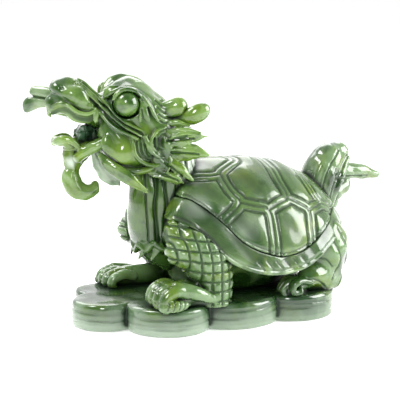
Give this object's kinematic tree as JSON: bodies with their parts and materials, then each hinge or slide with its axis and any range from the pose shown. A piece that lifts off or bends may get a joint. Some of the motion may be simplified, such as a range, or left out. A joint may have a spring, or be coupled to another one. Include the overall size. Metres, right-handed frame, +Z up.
{
  "type": "figurine",
  "caption": "Carved stone figurine of a dragon-headed turtle that stands with its head raised on a low lobed base.",
  "frame": {"origin": "centre of the base's flat underside", "axes": "+Z up; -X the way the creature faces, its tail at +X; its left side at -Y"},
  "size_m": [0.1684, 0.076, 0.1118],
  "materials": {
    "base_stone": "polished",
    "body_stone": "polished",
    "shell_stone": "polished",
    "pale_stone": "polished",
    "head_stone": "polished",
    "mouth_stone": "polished"
  },
  "bodies": {
    "root": {"base": "base_stone", "trunk": "body_stone", "neck": "body_stone", "tail": "body_stone", "front_leg_left": "body_stone", "front_leg_right": "body_stone", "hind_leg_left": "body_stone", "hind_leg_right": "body_stone", "carapace": "shell_stone", "shell_skirt": "shell_stone", "whisker_right": "pale_stone", "head": "head_stone", "lower_jaw": "head_stone", "beard": "head_stone", "eye_left": "head_stone", "eye_right": "head_stone", "brow_left": "head_stone", "brow_right": "head_stone", "horn_left": "head_stone", "horn_right": "head_stone", "ear_left": "head_stone", "ear_right": "head_stone", "mane_left": "head_stone", "mane_right": "head_stone", "jaw_fin_left": "head_stone", "jaw_fin_right": "head_stone", "tongue": "mouth_stone"}
  },
  "joints": []
}
